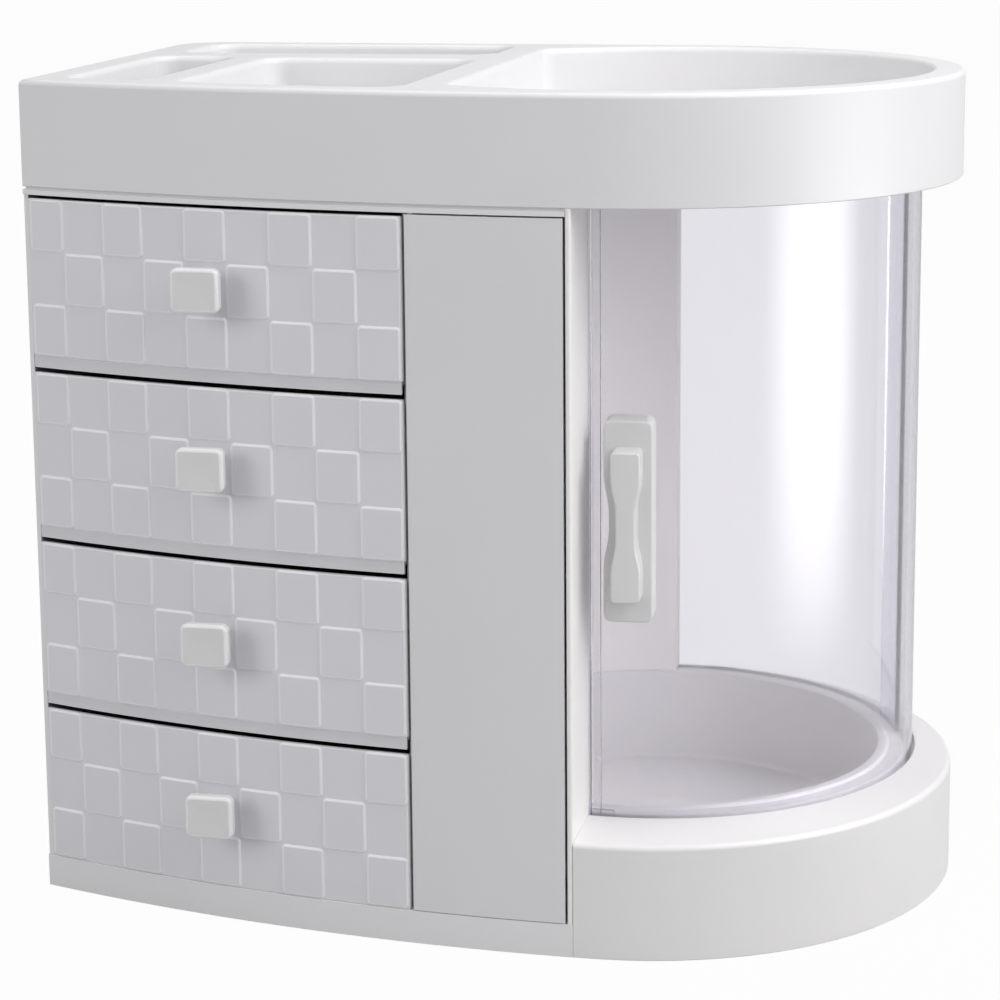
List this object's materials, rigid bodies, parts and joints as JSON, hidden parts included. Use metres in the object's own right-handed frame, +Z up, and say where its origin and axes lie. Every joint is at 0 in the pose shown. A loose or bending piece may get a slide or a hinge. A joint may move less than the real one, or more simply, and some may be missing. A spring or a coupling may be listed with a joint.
{
  "type": "makeup organizer with drawers",
  "caption": "Desk makeup organizer with bowed drawers, a tall hinged cupboard door, a round clear compartment with a sliding door and an open tray on top.",
  "frame": {"origin": "on the ground, below the middle of the body", "axes": "+X to the right along the front, +Y to the back, +Z up"},
  "size_m": [0.327, 0.23, 0.3],
  "materials": {
    "white_shell": "satin",
    "grey_front": "satin",
    "knob": "satin",
    "clear_plastic": "polished",
    "steel": "satin",
    "pad_rubber": "matt"
  },
  "bodies": {
    "case": {"plinth": "white_shell", "round_base": "white_shell", "body_shell": "white_shell", "divider_wall": "white_shell", "compartment_wall": "white_shell", "top_frame": "white_shell", "top_tray": "white_shell", "cupboard_rack": "white_shell", "clear_back_panel": "clear_plastic", "foot_pads": "pad_rubber", "drawer_board_1": "white_shell", "drawer_board_2": "white_shell", "drawer_board_3": "white_shell"},
    "sliding_door": {"clear_door": "clear_plastic", "door_handle_block": "white_shell", "door_handle_grip": "white_shell", "clear_door_foot": "clear_plastic"},
    "tall_door": {"cupboard_door": "grey_front"},
    "drawer_1": {"drawer_front_1": "grey_front", "drawer_box_1": "grey_front", "drawer_knob_1": "knob", "knob_screw_1": "steel"},
    "drawer_2": {"drawer_front_2": "grey_front", "drawer_box_2": "grey_front", "drawer_knob_2": "knob", "knob_screw_2": "steel"},
    "drawer_3": {"drawer_front_3": "grey_front", "drawer_box_3": "grey_front", "drawer_knob_3": "knob", "knob_screw_3": "steel"},
    "drawer_4": {"drawer_front_4": "grey_front", "drawer_box_4": "grey_front", "drawer_knob_4": "knob", "knob_screw_4": "steel"}
  },
  "joints": [
    {"name": "clear_door_slide", "type": "hinge", "parent": "case", "child": "sliding_door", "pos_m": [0.0505, 0.014, 0.042], "axis": [0, 0, 1], "range_deg": [0, 64]},
    {"name": "tall_door_hinge", "type": "hinge", "parent": "case", "child": "tall_door", "pos_m": [-0.01415, -0.11004, 0.0127], "axis": [0, 0, -1], "range_deg": [0, 85]},
    {"name": "drawer_1_slide", "type": "slide", "parent": "case", "child": "drawer_1", "axis": [0, -1, 0], "range_m": [0, 0.16]},
    {"name": "drawer_2_slide", "type": "slide", "parent": "case", "child": "drawer_2", "axis": [0, -1, 0], "range_m": [0, 0.16]},
    {"name": "drawer_3_slide", "type": "slide", "parent": "case", "child": "drawer_3", "axis": [0, -1, 0], "range_m": [0, 0.16]},
    {"name": "drawer_4_slide", "type": "slide", "parent": "case", "child": "drawer_4", "axis": [0, -1, 0], "range_m": [0, 0.16]}
  ]
}
